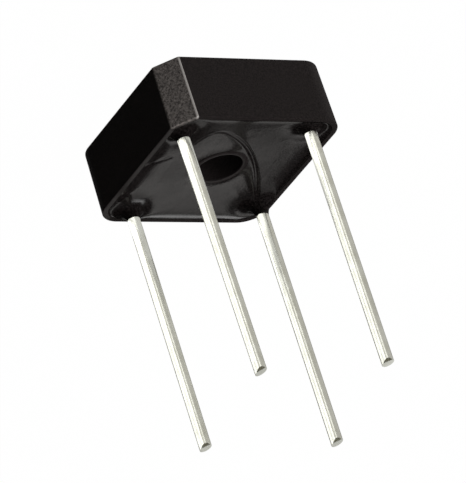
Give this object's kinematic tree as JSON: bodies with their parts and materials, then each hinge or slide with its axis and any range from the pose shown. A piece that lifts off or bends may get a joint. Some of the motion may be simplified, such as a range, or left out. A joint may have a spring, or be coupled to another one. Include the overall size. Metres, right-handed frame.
{
  "type": "bridge rectifier",
  "caption": "Square bridge rectifier: a black potted plastic case with a bevelled polarity corner, a central screw hole and round tinned wire leads, for turning AC into DC.",
  "frame": {"origin": "centre of the screw hole on the closed flat face, which is the lowest face", "axes": "+Z along the screw hole and the leads, away from the flat face; +X along one side of the case, and the bevelled corner with the positive lead is at -X, +Y"},
  "size_m": [0.0152, 0.0152, 0.0275],
  "materials": {
    "case_plastic": "moulded, fine matt grain",
    "potting": "poured epoxy, semi-gloss",
    "tinned_wire": "tinned copper wire, satin, drawn",
    "copper_strap": "stamped copper",
    "silicon": "sawn silicon, metallised faces",
    "solder": "solder, dull"
  },
  "bodies": {
    "root": {"case": "case_plastic", "potting_compound": "potting", "lead_positive": "tinned_wire", "lead_ac_1": "tinned_wire", "lead_negative": "tinned_wire", "lead_ac_2": "tinned_wire", "strap_positive": "copper_strap", "strap_ac_1": "copper_strap", "strap_negative": "copper_strap", "strap_ac_2": "copper_strap", "die_positive_ac_1": "silicon", "die_ac_1_negative": "silicon", "die_negative_ac_2": "silicon", "die_ac_2_positive": "silicon", "solder_under_die_1": "solder", "solder_under_die_2": "solder", "solder_under_die_3": "solder", "solder_under_die_4": "solder", "solder_over_die_1": "solder", "solder_over_die_2": "solder", "solder_over_die_3": "solder", "solder_over_die_4": "solder", "solder_lead_positive": "solder", "solder_lead_ac_1": "solder", "solder_lead_negative": "solder", "solder_lead_ac_2": "solder"}
  },
  "joints": []
}
